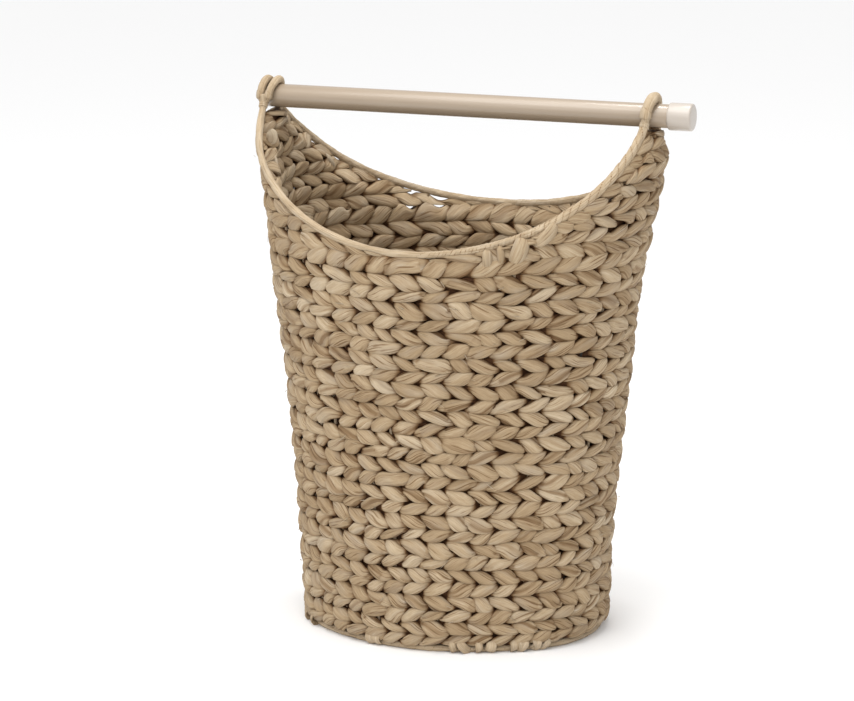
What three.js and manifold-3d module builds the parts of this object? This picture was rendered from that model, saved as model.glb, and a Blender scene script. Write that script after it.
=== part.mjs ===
// A tall twined laundry basket of water-hyacinth strand on a thin wire frame. Its two sides rise to peaks,
// and a wooden rod through a wrapped loop on each peak is the carrying handle.
// Millimetres, +Z up, +X towards the rod's turned knob, origin on the floor under the middle.
import * as THREE from 'three';
import { mergeVertices } from 'three/addons/utils/BufferGeometryUtils.js';
import Module from 'manifold-3d';

const wasm = await Module();
wasm.setup();

// ---- Driving dimensions ----

// Wall plan: an oval with six soft corners, which grows from the floor up.
const BASE_HALF_LENGTH = 163.5;
const BASE_HALF_DEPTH = 134.5;
const FLARE_LENGTH = 40.5;
const FLARE_DEPTH = 29;
const FLARE_HEIGHT = 412;
const PEAK_STRAIGHT_FROM = 498;
const CORNER_SHARPNESS = 0.16;
const CORNER_COUNT = 6;
const WALL_THICKNESS = 20;
const WALL_MIDDLE = WALL_THICKNESS / 2;

// Twined courses, counted from the floor.
const FIRST_COURSE_BOTTOM = 7.3;
const COURSE_HEIGHT = 28;
const SECOND_COURSE_BOTTOM = 31;
const FULL_COURSES = 14;
const TOP_COURSE_TOP = 410.5;
const COURSE_EDGE = 4;
const PLAN_SEGMENTS = 24;
const GAP = 0.3;

// Rim: an elliptical sweep from one peak to the other, seen from the front.
const RIM_CENTRE_Z = 540;
const RIM_HALF_SPAN = 204.5;
const RIM_DROP = 125;
const RIM_RADIUS = 3.6;
const RIM_INSET = 7.5;
const RIM_CLEARANCE = RIM_RADIUS + 2 * GAP;
const TIP_CUT_FROM = THREE.MathUtils.degToRad(54);
const WING_START_X = 34;
const WING_LEVELS = [410.8, 425, 453, 481, 509, 528.3];

// Handle rod and its knob.
const ROD_Z = 542;
const ROD_RADIUS = 12;
const ROD_LEFT_END = -213;
const KNOB_START = 224.5;
const KNOB_END = 249.5;
const KNOB_RADIUS = 14;
const KNOB_ROUNDING = 3;
const SPIGOT_RADIUS = 6;
const SPIGOT_LENGTH = 15;
const ROD_SIDES = 28;

// Loops over the rod: one thick turn on the knob side, two thin turns on the other.
const LOOP_PLAY = 0.6;
const RIGHT_LOOP_X = 204.6;
const RIGHT_LOOP_RADIUS = 5.8;
const LEFT_LOOP_XS = [-200.2, -209];
const LEFT_LOOP_RADIUS = 4.2;
const BINDING_HEIGHT = 7;
const BINDING_Z = 535;
const BINDING_RADIUS = 5.6;

// Wire frame and base.
const UPRIGHT_RADIUS = 1.6;
const UPRIGHT_BORE = 2;
const UPRIGHT_TOP_MIDDLE = 410.9;
const UPRIGHT_TOP_SIDE = 471;
const HOOP_SIZE = 7;
const HOOP_EDGE = 2;
const BASE_WIRE_RADIUS = 1.6;
const BASE_WIRE_X = 55;
const BASE_WIRE_Z = 4.6;
const BASE_WIRE_STOP = 5;
const BASE_WEAVE_BOTTOM = 7.3;
const BASE_WEAVE_TOP = 19.5;
const BASE_ROUND_WIDTH = 27;
const BASE_ROUNDS = 3;
const BASE_EDGE = 3;

// ---- Materials ----

function finish(color, roughness, metalness = 0) {
  return () => new THREE.MeshStandardMaterial({ color, roughness, metalness });
}

const paleHyacinth = finish(0xb59f7b, 0.8);
const warmHyacinth = finish(0xa88f68, 0.82);
const wrappedStrand = finish(0xb8a27c, 0.75);
const beech = finish(0xd9cab6, 0.5);
const paleBeech = finish(0xe4dacb, 0.48);
const blackWire = finish(0x3a3430, 0.45, 0.8);

// ---- Wall shape ----

function flare(z) {
  const t = z / FLARE_HEIGHT;
  return t * (1 + t) / 2;
}

function halfLength(z) {
  return BASE_HALF_LENGTH + FLARE_LENGTH * flare(Math.min(z, PEAK_STRAIGHT_FROM));
}

function halfDepth(z) {
  return BASE_HALF_DEPTH + FLARE_DEPTH * flare(z);
}

// The plan's radius as a part of the plain oval's: 1 at a corner, a little less half way between corners.
function cornerFactor(angle) {
  const sector = 2 * Math.PI / CORNER_COUNT;
  const fromFaceMiddle = THREE.MathUtils.euclideanModulo(angle + sector / 2, sector) - sector / 2;
  const polygon = Math.cos(sector / 2) / Math.cos(fromFaceMiddle);
  return 1 - CORNER_SHARPNESS + CORNER_SHARPNESS * polygon;
}

function wallPoint(angle, z, inset) {
  const factor = cornerFactor(angle);
  const x = (halfLength(z) - inset) * factor * Math.cos(angle);
  const y = (halfDepth(z) - inset) * factor * Math.sin(angle);
  return new THREE.Vector3(x, y, z);
}

function planOutline(z, inset) {
  const points = [];
  for (let i = 0; i < PLAN_SEGMENTS; i++) {
    const p = wallPoint(2 * Math.PI * i / PLAN_SEGMENTS, z, inset);
    points.push(new THREE.Vector2(p.x, p.y));
  }
  return points;
}

// A flat oval band, or an oval plate when it has no inner inset, that leans out with the wall.
function ovalBand(zLow, zHigh, outerInset, innerInset, edge) {
  const zMiddle = (zLow + zHigh) / 2;
  const shape = new THREE.Shape(planOutline(zMiddle, outerInset));
  if (innerInset !== null) {
    shape.holes.push(new THREE.Path(planOutline(zMiddle, innerInset)));
  }
  const geometry = new THREE.ExtrudeGeometry(shape, {
    depth: zHigh - zLow - 2 * edge,
    bevelThickness: edge,
    bevelSize: edge,
    bevelOffset: -edge,
    bevelSegments: 1,
  });
  geometry.translate(0, 0, zLow + edge);
  const position = geometry.attributes.position;
  for (let i = 0; i < position.count; i++) {
    const z = position.getZ(i);
    position.setX(i, position.getX(i) * halfLength(z) / halfLength(zMiddle));
    position.setY(i, position.getY(i) * halfDepth(z) / halfDepth(zMiddle));
  }
  return geometry;
}

// ---- Small helpers ----

function circle(radius, sides) {
  const points = [];
  for (let i = 0; i < sides; i++) {
    const angle = 2 * Math.PI * i / sides;
    points.push(new THREE.Vector2(radius * Math.cos(angle), radius * Math.sin(angle)));
  }
  return new THREE.Shape(points);
}

function tube(points, radius, sides, steps) {
  const path = new THREE.CatmullRomCurve3(points);
  return new THREE.ExtrudeGeometry(circle(radius, sides), { extrudePath: path, steps, bevelEnabled: false });
}

function solidOf(geometry) {
  const bare = geometry.clone();
  bare.deleteAttribute('normal');
  bare.deleteAttribute('uv');
  const merged = mergeVertices(bare, 1e-4);
  return new wasm.Manifold(new wasm.Mesh({
    numProp: 3,
    vertProperties: new Float32Array(merged.attributes.position.array),
    triVerts: new Uint32Array(merged.index.array),
  }));
}

function geometryOf(solid) {
  const mesh = solid.getMesh();
  const geometry = new THREE.BufferGeometry();
  geometry.setAttribute('position', new THREE.BufferAttribute(mesh.vertProperties, 3));
  geometry.setIndex(new THREE.BufferAttribute(mesh.triVerts, 1));
  geometry.computeVertexNormals();
  return geometry;
}

const basket = new THREE.Group();

function add(name, geometry, makeMaterial) {
  const mesh = new THREE.Mesh(geometry, makeMaterial());
  mesh.name = name;
  basket.add(mesh);
  return mesh;
}

// ---- Rim line ----

function rimAngleOnWall(x, z) {
  let low = 0;
  let high = Math.PI;
  for (let i = 0; i < 40; i++) {
    const middle = (low + high) / 2;
    if (wallPoint(middle, z, RIM_INSET).x > x) {
      low = middle;
    } else {
      high = middle;
    }
  }
  return (low + high) / 2;
}

// A point of the rim: sweep runs from -90 degrees at the left peak to +90 at the right, side is -1 in front.
function rimPoint(sweep, side) {
  const x = RIM_HALF_SPAN * Math.sin(sweep);
  const z = RIM_CENTRE_Z - RIM_DROP * Math.cos(sweep);
  const point = wallPoint(rimAngleOnWall(x, z), z, RIM_INSET);
  point.y *= side;
  return point;
}

function rimLine(side, steps) {
  const points = [];
  for (let i = 0; i <= steps; i++) {
    points.push(rimPoint(Math.PI * (i / steps - 0.5), side));
  }
  return points;
}

// ---- Wire frame ----

function uprightLine(angle, bottom, top) {
  const steps = 8;
  const points = [];
  for (let i = 0; i <= steps; i++) {
    points.push(wallPoint(angle, THREE.MathUtils.lerp(bottom, top, i / steps), WALL_MIDDLE));
  }
  return points;
}

const uprightAngles = [];
for (let i = 0; i < CORNER_COUNT; i++) {
  uprightAngles.push(Math.PI / CORNER_COUNT * (2 * i + 1));
}

function uprightTop(angle) {
  return Math.abs(Math.cos(angle)) < 0.1 ? UPRIGHT_TOP_MIDDLE : UPRIGHT_TOP_SIDE;
}

let uprightBores = null;
uprightAngles.forEach((angle, i) => {
  const top = uprightTop(angle);
  const line = uprightLine(angle, HOOP_SIZE + GAP, top);
  add(`upright_wire_${i + 1}`, tube(line, UPRIGHT_RADIUS, 6, 8), blackWire);
  const overrun = GAP / (top - HOOP_SIZE);
  line[0].lerp(line[1], -overrun * line.length);
  line[line.length - 1].lerp(line[line.length - 2], -overrun * line.length);
  const bore = solidOf(tube(line, UPRIGHT_BORE, 6, 8));
  uprightBores = uprightBores ? uprightBores.add(bore) : bore;
});

add('base_hoop', ovalBand(0, HOOP_SIZE, WALL_MIDDLE - HOOP_SIZE / 2, WALL_MIDDLE + HOOP_SIZE / 2, HOOP_EDGE),
  wrappedStrand);

for (const [name, x] of [['base_wire_left', -BASE_WIRE_X], ['base_wire_right', BASE_WIRE_X]]) {
  const hoopInset = WALL_MIDDLE + HOOP_SIZE / 2 + GAP;
  const halfSpan = (halfDepth(0) - hoopInset) * Math.sqrt(1 - (BASE_WIRE_X / (halfLength(0) - hoopInset)) ** 2);
  const wire = new THREE.CylinderGeometry(BASE_WIRE_RADIUS, BASE_WIRE_RADIUS, 2 * (halfSpan - BASE_WIRE_STOP), 8);
  add(name, wire, blackWire).position.set(x, 0, BASE_WIRE_Z);
}

// ---- Woven base ----

for (let i = 0; i < BASE_ROUNDS; i++) {
  const outer = WALL_THICKNESS + GAP + i * BASE_ROUND_WIDTH;
  const inner = outer + BASE_ROUND_WIDTH - GAP;
  add(`base_round_${i + 1}`, ovalBand(BASE_WEAVE_BOTTOM, BASE_WEAVE_TOP, outer, inner, BASE_EDGE), warmHyacinth);
}
add('base_centre', ovalBand(BASE_WEAVE_BOTTOM, BASE_WEAVE_TOP,
  WALL_THICKNESS + GAP + BASE_ROUNDS * BASE_ROUND_WIDTH, null, BASE_EDGE), warmHyacinth);

// ---- Wall courses, each a twined ring with bores for the six uprights ----

function courseRing(zLow, zHigh) {
  const edge = Math.min(COURSE_EDGE, (zHigh - zLow) / 4);
  return solidOf(ovalBand(zLow, zHigh, 0, WALL_THICKNESS, edge)).subtract(uprightBores);
}

function courseName(prefix, number) {
  return `${prefix}_${String(number).padStart(2, '0')}`;
}

let courseBottom = FIRST_COURSE_BOTTOM;
for (let i = 1; i <= FULL_COURSES + 1; i++) {
  const nextBottom = SECOND_COURSE_BOTTOM + (i - 1) * COURSE_HEIGHT;
  const top = i > FULL_COURSES ? TOP_COURSE_TOP : nextBottom - GAP;
  const colour = i % 2 ? paleHyacinth : warmHyacinth;
  add(courseName('wall_course', i), geometryOf(courseRing(courseBottom, top)), colour);
  courseBottom = nextBottom;
}

// ---- Side wings: short courses that fill each peak up to the rim ----

// What lies inside the rim's sweep, between the two sides, cut straight through from front to back.
function sweepCutter() {
  const steps = 24;
  const outline = [];
  for (let i = 0; i <= steps; i++) {
    const turn = THREE.MathUtils.lerp(-TIP_CUT_FROM, TIP_CUT_FROM, i / steps);
    const x = (RIM_HALF_SPAN + RIM_CLEARANCE) * Math.sin(turn);
    outline.push(new THREE.Vector2(x, RIM_CENTRE_Z - (RIM_DROP + RIM_CLEARANCE) * Math.cos(turn)));
  }
  outline.push(new THREE.Vector2(outline[steps].x, RIM_CENTRE_Z));
  outline.push(new THREE.Vector2(outline[0].x, RIM_CENTRE_Z));
  const shape = new THREE.Shape(outline);
  const depth = 2.5 * halfDepth(RIM_CENTRE_Z);
  const geometry = new THREE.ExtrudeGeometry(shape, { depth, bevelEnabled: false });
  geometry.rotateX(Math.PI / 2);
  geometry.translate(0, depth / 2, 0);
  return solidOf(geometry);
}

// What lies outside the rim near a peak, seen along the rod, with the rim cord's clearance taken off.
function tipCutter(sideX, sideY) {
  const steps = 8;
  const reach = 1.3 * halfDepth(RIM_CENTRE_Z);
  const line = [];
  for (let i = 0; i <= steps; i++) {
    const point = rimPoint(sideX * THREE.MathUtils.lerp(TIP_CUT_FROM, Math.PI / 2, i / steps), 1);
    line.push(new THREE.Vector2(point.y, point.z));
  }
  const inner = line.map((point, i) => {
    const along = line[Math.min(i + 1, steps)].clone().sub(line[Math.max(i - 1, 0)]).normalize();
    return new THREE.Vector2(point.x - along.y * RIM_CLEARANCE, point.y + along.x * RIM_CLEARANCE);
  });
  const outline = [new THREE.Vector2(reach, inner[0].y), ...inner, new THREE.Vector2(reach, inner[steps].y)];
  const shape = new THREE.Shape(outline.map((point) => new THREE.Vector2(sideX * sideY * point.x, point.y)));
  const depth = 1.5 * halfLength(RIM_CENTRE_Z);
  const geometry = new THREE.ExtrudeGeometry(shape, { depth, bevelEnabled: false });
  geometry.rotateX(Math.PI / 2);
  geometry.rotateZ(sideX * Math.PI / 2);
  return solidOf(geometry);
}

// Everything on one side of the basket beyond the first few centimetres from its middle.
function sideBlock(sideX) {
  const size = 400;
  const geometry = new THREE.BoxGeometry(size, 2 * size, 2 * size);
  geometry.translate(sideX * (WING_START_X + size / 2), 0, size);
  return solidOf(geometry);
}

const sweep = sweepCutter();
for (const [side, sideX] of [['left', -1], ['right', 1]]) {
  const cut = sweep.add(tipCutter(sideX, 1)).add(tipCutter(sideX, -1));
  const block = sideBlock(sideX);
  for (let i = 1; i < WING_LEVELS.length; i++) {
    const ring = courseRing(WING_LEVELS[i - 1], WING_LEVELS[i] - GAP);
    const colour = i % 2 ? warmHyacinth : paleHyacinth;
    add(courseName(`${side}_wing_course`, i), geometryOf(ring.intersect(block).subtract(cut)), colour);
  }
}

// ---- Rim cords, loops and their bindings ----

const RIM_STEPS = 36;
for (const [name, side] of [['front', -1], ['back', 1]]) {
  const line = rimLine(side, RIM_STEPS);
  add(`rim_cord_${name}`, tube(line, RIM_RADIUS, 8, RIM_STEPS), wrappedStrand);
}

function loopLine(x, radius) {
  const steps = 12;
  const points = [];
  for (let i = 0; i <= steps; i++) {
    const angle = Math.PI * i / steps;
    const reach = ROD_RADIUS + LOOP_PLAY + radius;
    points.push(new THREE.Vector3(x, -reach * Math.cos(angle), ROD_Z + reach * Math.sin(angle)));
  }
  return points;
}

add('right_loop', tube(loopLine(RIGHT_LOOP_X, RIGHT_LOOP_RADIUS), RIGHT_LOOP_RADIUS, 10, 18), wrappedStrand);
LEFT_LOOP_XS.forEach((x, i) => {
  const name = i ? 'left_loop_outer' : 'left_loop_inner';
  add(name, tube(loopLine(x, LEFT_LOOP_RADIUS), LEFT_LOOP_RADIUS, 10, 18), wrappedStrand);
});

// A short collar of strand around the rim cord just under a loop.
function binding(sideX, sideY) {
  const end = rimPoint(sideX * Math.PI / 2, sideY);
  const centre = rimPoint(sideX * Math.acos((RIM_CENTRE_Z - BINDING_Z) / RIM_DROP), sideY);
  const collar = new THREE.CylinderGeometry(BINDING_RADIUS, BINDING_RADIUS, BINDING_HEIGHT, 12);
  const along = end.sub(centre).normalize();
  collar.applyQuaternion(new THREE.Quaternion().setFromUnitVectors(new THREE.Vector3(0, 1, 0), along));
  collar.translate(...centre);
  const bore = solidOf(tube(rimLine(sideY, RIM_STEPS), RIM_RADIUS + GAP, 8, RIM_STEPS));
  return geometryOf(solidOf(collar).subtract(bore));
}

for (const [sideName, sideX] of [['left', -1], ['right', 1]]) {
  for (const [faceName, sideY] of [['front', -1], ['back', 1]]) {
    add(`${sideName}_${faceName}_binding`, binding(sideX, sideY), wrappedStrand);
  }
}

// ---- Handle rod and knob, turned about X ----

function turned(profile) {
  const points = profile.map(([x, radius]) => new THREE.Vector2(radius, x));
  const geometry = new THREE.LatheGeometry(points, ROD_SIDES);
  geometry.rotateZ(-Math.PI / 2);
  return geometry;
}

add('carry_rod', turned([
  [ROD_LEFT_END, 0],
  [ROD_LEFT_END, ROD_RADIUS - 1.5],
  [ROD_LEFT_END + 1.5, ROD_RADIUS],
  [KNOB_START - GAP, ROD_RADIUS],
  [KNOB_START - GAP, SPIGOT_RADIUS],
  [KNOB_START + SPIGOT_LENGTH, SPIGOT_RADIUS],
  [KNOB_START + SPIGOT_LENGTH, 0],
]), beech).position.z = ROD_Z;

add('rod_knob', turned([
  [KNOB_START + SPIGOT_LENGTH + GAP, 0],
  [KNOB_START + SPIGOT_LENGTH + GAP, SPIGOT_RADIUS + GAP],
  [KNOB_START, SPIGOT_RADIUS + GAP],
  [KNOB_START, KNOB_RADIUS - 0.6],
  [KNOB_START + 0.6, KNOB_RADIUS],
  [KNOB_END - KNOB_ROUNDING, KNOB_RADIUS],
  [KNOB_END - 0.3 * KNOB_ROUNDING, KNOB_RADIUS - 0.3 * KNOB_ROUNDING],
  [KNOB_END, KNOB_RADIUS - KNOB_ROUNDING],
  [KNOB_END, 0],
]), paleBeech).position.z = ROD_Z;

// The origin is on the floor under the middle of everything, the knob included.
const extent = new THREE.Box3().setFromObject(basket);
basket.position.x = -(extent.min.x + extent.max.x) / 2;
const part = new THREE.Group();
part.add(basket);

export default part;
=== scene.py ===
"""A tall twined laundry basket of water-hyacinth strand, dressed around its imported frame."""

import math

import bpy
import numpy as np
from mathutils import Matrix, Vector


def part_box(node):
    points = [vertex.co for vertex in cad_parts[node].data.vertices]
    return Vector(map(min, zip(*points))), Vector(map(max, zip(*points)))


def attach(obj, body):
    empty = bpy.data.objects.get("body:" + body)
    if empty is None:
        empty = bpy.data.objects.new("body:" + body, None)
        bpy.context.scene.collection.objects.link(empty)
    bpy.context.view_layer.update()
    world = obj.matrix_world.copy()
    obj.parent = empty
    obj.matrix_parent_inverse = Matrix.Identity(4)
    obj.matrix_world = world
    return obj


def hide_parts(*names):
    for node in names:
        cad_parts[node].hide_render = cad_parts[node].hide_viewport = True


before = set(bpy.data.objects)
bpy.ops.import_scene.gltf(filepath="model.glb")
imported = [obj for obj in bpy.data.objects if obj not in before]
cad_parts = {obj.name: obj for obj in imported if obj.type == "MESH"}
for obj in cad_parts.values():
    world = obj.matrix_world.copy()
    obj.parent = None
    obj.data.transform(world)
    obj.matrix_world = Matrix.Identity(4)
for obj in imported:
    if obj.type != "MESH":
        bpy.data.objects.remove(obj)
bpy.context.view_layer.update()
MM = 0.001
TAU = 2 * math.pi

# ---- camera

BASKET_X = sum(corner.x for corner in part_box("wall_course_08")) / 2
VIEW_AZIMUTH = math.radians(19.0)
VIEW_ELEVATION = math.radians(11.94)
VIEW_DISTANCE = 4.249
VIEW_CENTRE = Vector((BASKET_X, 0, 0.309))
VIEW_LEFT = 0.0308
VIEW_DOWN = 0.0224
SENSOR_WIDTH = 36.0
LENS = 173.9


def make_camera():
    back = Vector((
        math.sin(VIEW_AZIMUTH) * math.cos(VIEW_ELEVATION),
        -math.cos(VIEW_AZIMUTH) * math.cos(VIEW_ELEVATION),
        math.sin(VIEW_ELEVATION),
    ))
    right = Vector((math.cos(VIEW_AZIMUTH), math.sin(VIEW_AZIMUTH), 0))
    up = back.cross(right)
    place = VIEW_CENTRE + back * VIEW_DISTANCE
    aim = VIEW_CENTRE - right * VIEW_LEFT - up * VIEW_DOWN
    data = bpy.data.cameras.new("camera")
    data.lens = LENS
    data.sensor_width = SENSOR_WIDTH
    data.clip_start = 0.1
    data.clip_end = 50
    camera = bpy.data.objects.new("camera", data)
    camera.location = place
    camera.rotation_euler = (aim - place).to_track_quat("-Z", "Y").to_euler()
    bpy.context.scene.collection.objects.link(camera)
    bpy.context.scene.camera = camera


make_camera()

# ---- small sums used throughout


def unit(vectors):
    return vectors / np.linalg.norm(vectors, axis=-1, keepdims=True)


def run_along(line):
    """Distance from the start of a line at each of its points."""
    return np.concatenate([[0], np.cumsum(np.linalg.norm(np.diff(line, axis=0), axis=1))])


def smooth_step(part):
    return part * part * (3 - 2 * part)


def rounded_off(part, least):
    """The size of a rounded end, part of the way in from its tip."""
    return np.sqrt(np.clip(1 - (1 - np.clip(part, 0, 1)) ** 2, least, 1))


# ---- the wall's shape, from the frame

PLAN_CORNERS = 6
CORNER_SHARPNESS = 0.16
CORNER_BLUR = math.radians(4)
BLUR_STEPS = (-1.0, -0.5, 0.0, 0.5, 1.0)
PEAK_STRAIGHT_FROM = 0.498
COURSE_EDGE = 4 * MM
WALL_MIDDLE = 10 * MM
RIM_INSET = 7.5 * MM
FULL_COURSES = 14


def corner_factor(angle):
    """The plan's radius as a part of the plain oval's, with its six corners a little blurred."""
    sector = TAU / PLAN_CORNERS
    total = 0
    for shift in BLUR_STEPS:
        from_middle = np.mod(angle + shift * CORNER_BLUR + sector / 2, sector) - sector / 2
        total = total + math.cos(sector / 2) / np.cos(from_middle)
    return 1 - CORNER_SHARPNESS + CORNER_SHARPNESS * total / len(BLUR_STEPS)


course_boxes = [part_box(f"wall_course_{i:02d}") for i in range(1, FULL_COURSES + 2)]
course_heights = [high.z - COURSE_EDGE for _, high in course_boxes]
plan_flat = 1 - CORNER_SHARPNESS + CORNER_SHARPNESS * math.cos(math.pi / PLAN_CORNERS)
half_lengths = [(high.x - low.x) / 2 / plan_flat for low, high in course_boxes]
half_depths = [(high.y - low.y) / 2 for low, high in course_boxes]
LENGTH_FIT = np.polyfit(course_heights, half_lengths, 2)
DEPTH_FIT = np.polyfit(course_heights, half_depths, 2)


def half_length(z):
    return np.polyval(LENGTH_FIT, np.minimum(z, PEAK_STRAIGHT_FROM))


def half_depth(z):
    return np.polyval(DEPTH_FIT, z)


def wall_point(angle, z, inset):
    """Points of the wall: angle round the plan, height, and how far in from the outer surface."""
    angle, z, inset = np.broadcast_arrays(angle, z, inset)
    factor = corner_factor(angle)
    x = BASKET_X + (half_length(z) - inset) * factor * np.cos(angle)
    y = (half_depth(z) - inset) * factor * np.sin(angle)
    return np.stack([x, y, z], axis=-1)


# Stakes stand evenly round each face, and one stands at each corner.
STAKES_PER_FACE = (7, 6, 7, 7, 6, 7)
STAKE_COUNT = sum(STAKES_PER_FACE)
STAKE_LEVEL = 0.25
FACE_POINTS = 61
FRONT_CORNER = -math.pi / 2


def stake_table():
    """Places counted in stakes round the plan, and the plan angle of each."""
    places, angles = [], []
    first = 0
    for face, count in enumerate(STAKES_PER_FACE):
        fan = FRONT_CORNER + TAU / PLAN_CORNERS * (face + np.linspace(0, 1, FACE_POINTS))
        points = wall_point(fan, STAKE_LEVEL, WALL_MIDDLE)
        run = run_along(points)
        places.append(first + count * run / run[-1])
        angles.append(fan)
        first += count
    return np.concatenate(places), np.concatenate(angles)


STAKE_PLACES, STAKE_ANGLES = stake_table()


def angle_at(stake):
    """The plan angle of a place counted in stakes from the front corner, as a float of any size."""
    stake = np.asarray(stake, float)
    turns = np.floor(stake / STAKE_COUNT)
    return np.interp(stake - turns * STAKE_COUNT, STAKE_PLACES, STAKE_ANGLES) + turns * TAU


def stake_at(angle):
    """The place counted in stakes of a plan angle."""
    angle = np.asarray(angle, float)
    turns = np.floor((angle - FRONT_CORNER) / TAU)
    return np.interp(angle - turns * TAU, STAKE_ANGLES, STAKE_PLACES) + turns * STAKE_COUNT


# ---- the rim's line, from the frame

rim_low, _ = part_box("rim_cord_front")
RIM_RADIUS = 3.6 * MM
RIM_HALF_SPAN = 204.5 * MM
RIM_DROP = 125 * MM
RIM_PEAK_Z = rim_low.z + RIM_RADIUS + RIM_DROP
RIM_SAMPLES = 721
HALVINGS = 40


def rim_points(sweep):
    """The rim at a sweep of -90 to 90 degrees from the left peak to the right one, on the back half."""
    x = RIM_HALF_SPAN * np.sin(sweep)
    z = RIM_PEAK_Z - RIM_DROP * np.cos(sweep)
    low = np.zeros_like(x)
    high = np.full_like(x, math.pi)
    for _ in range(HALVINGS):
        middle = (low + high) / 2
        beyond = wall_point(middle, z, RIM_INSET)[..., 0] - BASKET_X > x
        low = np.where(beyond, middle, low)
        high = np.where(beyond, high, middle)
    angle = (low + high) / 2
    return angle, wall_point(angle, z, RIM_INSET)


rim_sweep = np.linspace(-math.pi / 2, math.pi / 2, RIM_SAMPLES)
rim_angles, rim_line = rim_points(rim_sweep)


def angle_between(first, second):
    """How far the first plan angle is past the second, from half a turn back to half a turn on."""
    return np.mod(np.asarray(first, float) - second + math.pi, TAU) - math.pi


def rim_height(angle):
    """Height of the rim's centreline above a place round the wall."""
    return np.interp(np.abs(angle_between(angle, 0)), rim_angles[::-1], rim_line[::-1, 2])


# ---- meshes from swept sections

rng = np.random.default_rng(7)


class Sweep:
    """Tubes gathered into one mesh. Each corner keeps its place along and round its strand as "fibre",
    and its tone, its fold for painted crease shade and its hollow shading for painted shade in the
    hollows as "shade"."""

    def __init__(self):
        self.points, self.quads, self.caps = [], [], []
        self.fibre, self.shade, self.cap_data = [], [], []
        self.count = 0

    def tube(self, grid, along, tone, fold, hollow_shading, closed):
        """Adds a tube of shape (steps, sides, 3). A closed one has a value more in along than steps."""
        steps, sides = grid.shape[:2]
        self.points.append(grid.reshape(-1, 3))
        last = steps if closed else steps - 1
        i, j = np.meshgrid(np.arange(last), np.arange(sides), indexing="ij")
        corners = [(i, j), (i + 1, j), (i + 1, j + 1), (i, j + 1)]
        index = [self.count + (a % steps) * sides + b % sides for a, b in corners]
        self.quads.append(np.stack(index, axis=-1).reshape(-1, 4))
        turn = TAU * np.arange(sides) / sides
        fibre, shade = [], []
        for a, b in corners:
            step, side = a % steps, b % sides
            fibre.append(np.stack([along[a], np.cos(turn[side]), np.sin(turn[side])], axis=-1))
            shade.append(np.stack([values[step, side] for values in (tone, fold, hollow_shading)], axis=-1))
        self.fibre.append(np.stack(fibre, axis=2).reshape(-1, 3))
        self.shade.append(np.stack(shade, axis=2).reshape(-1, 3))
        if not closed:
            for step, ring in ((0, np.arange(sides)[::-1]), (steps - 1, np.arange(sides))):
                self.caps.append(self.count + step * sides + ring)
                place = [np.full(sides, along[step]), np.cos(turn[ring]), np.sin(turn[ring])]
                looks = [values[step, ring] for values in (tone, fold, hollow_shading)]
                self.cap_data.append((np.stack(place, axis=-1), np.stack(looks, axis=-1)))
        self.count += steps * sides

    def build(self, name, material):
        points = np.concatenate(self.points)
        loops = [quads.reshape(-1) for quads in self.quads] + self.caps
        sizes = [np.full(len(quads), 4) for quads in self.quads] + [[len(cap)] for cap in self.caps]
        sizes = np.concatenate(sizes)
        index = np.concatenate(loops).astype(np.int32)
        mesh = bpy.data.meshes.new(name)
        mesh.vertices.add(len(points))
        mesh.vertices.foreach_set("co", points.astype(np.float32).reshape(-1))
        mesh.loops.add(len(index))
        mesh.loops.foreach_set("vertex_index", index)
        mesh.polygons.add(len(sizes))
        starts = np.concatenate([[0], np.cumsum(sizes)[:-1]]).astype(np.int32)
        mesh.polygons.foreach_set("loop_start", starts)
        for title, parts, caps in (
            ("fibre", self.fibre, [data[0] for data in self.cap_data]),
            ("shade", self.shade, [data[1] for data in self.cap_data]),
        ):
            attribute = mesh.attributes.new(title, "FLOAT_VECTOR", "CORNER")
            values = np.concatenate(parts + caps).astype(np.float32)
            attribute.data.foreach_set("vector", values.reshape(-1))
        mesh.update(calc_edges=True)
        mesh.shade_smooth()
        mesh.materials.append(material)
        piece = bpy.data.objects.new(name, mesh)
        bpy.context.scene.collection.objects.link(piece)
        return piece


def section_frames(centre, outward, closed):
    """Directions out of a line and up across it at each point, from the way that it faces there."""
    if closed:
        along = np.roll(centre, -1, axis=0) - np.roll(centre, 1, axis=0)
    else:
        along = np.gradient(centre, axis=0)
    along = unit(along)
    out = unit(outward - np.sum(outward * along, axis=1, keepdims=True) * along)
    return out, np.cross(out, along)


# ---- twining

STRAND_STEPS = 12
STRAND_SIDES = 20
STAKE_PITCH = 25 * MM
WALL_HALF_THICKNESS = 10 * MM
ROW_HALF_HEIGHT = 7 * MM
WEAVE_DEPTH = 4.8 * MM
DEPTH_FLATNESS = 1.5
LEAN_HEIGHT = 4.9 * MM
HALF_HEIGHT_CROSSING = 5.3 * MM
HALF_HEIGHT_OVER = 7.9 * MM
HALF_DEPTH_CROSSING = 5.6 * MM
HALF_DEPTH_OVER = 6.0 * MM
SECTION_POWER = 0.82
FOLD_DEPTH = 0.085
GROOVE_DEPTH = 0.2
LOBE_CHANGE = 0.22
END_TAPER = 0.5
LOBE_SLIP = 0.13
ROW_SLIP = 0.16
LOBE_SPREAD = 0.13
LIFT_SPREAD = 0.7 * MM
PROUD_SPREAD = 0.8 * MM
PALE_SHARE = 0.03
PALE_TONE = 1.3
TWIST_PER_METRE = 16.0
GROOVE_LAG = 0.6
GROOVE_WIDTH = 0.28
# How much painted shade falls in the grooves of each strand.
GROOVE_SHADE = 1.6
# Painted shade in the hollows: how fast it lightens out from the wall's middle, and how much darker
# each pass's inward side is.
HOLLOW_SHADE_REACH = 1.05
HOLLOW_SHADE_BIAS = 0.12
NEW_FIBRE = 50
# The least hollow shading at an open edge, so there is less painted shade there.
OPEN_EDGE_SHADE_LIFT = 0.66
PRESS_FROM = 0.80
PRESS_ROOM = 0.30


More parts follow.
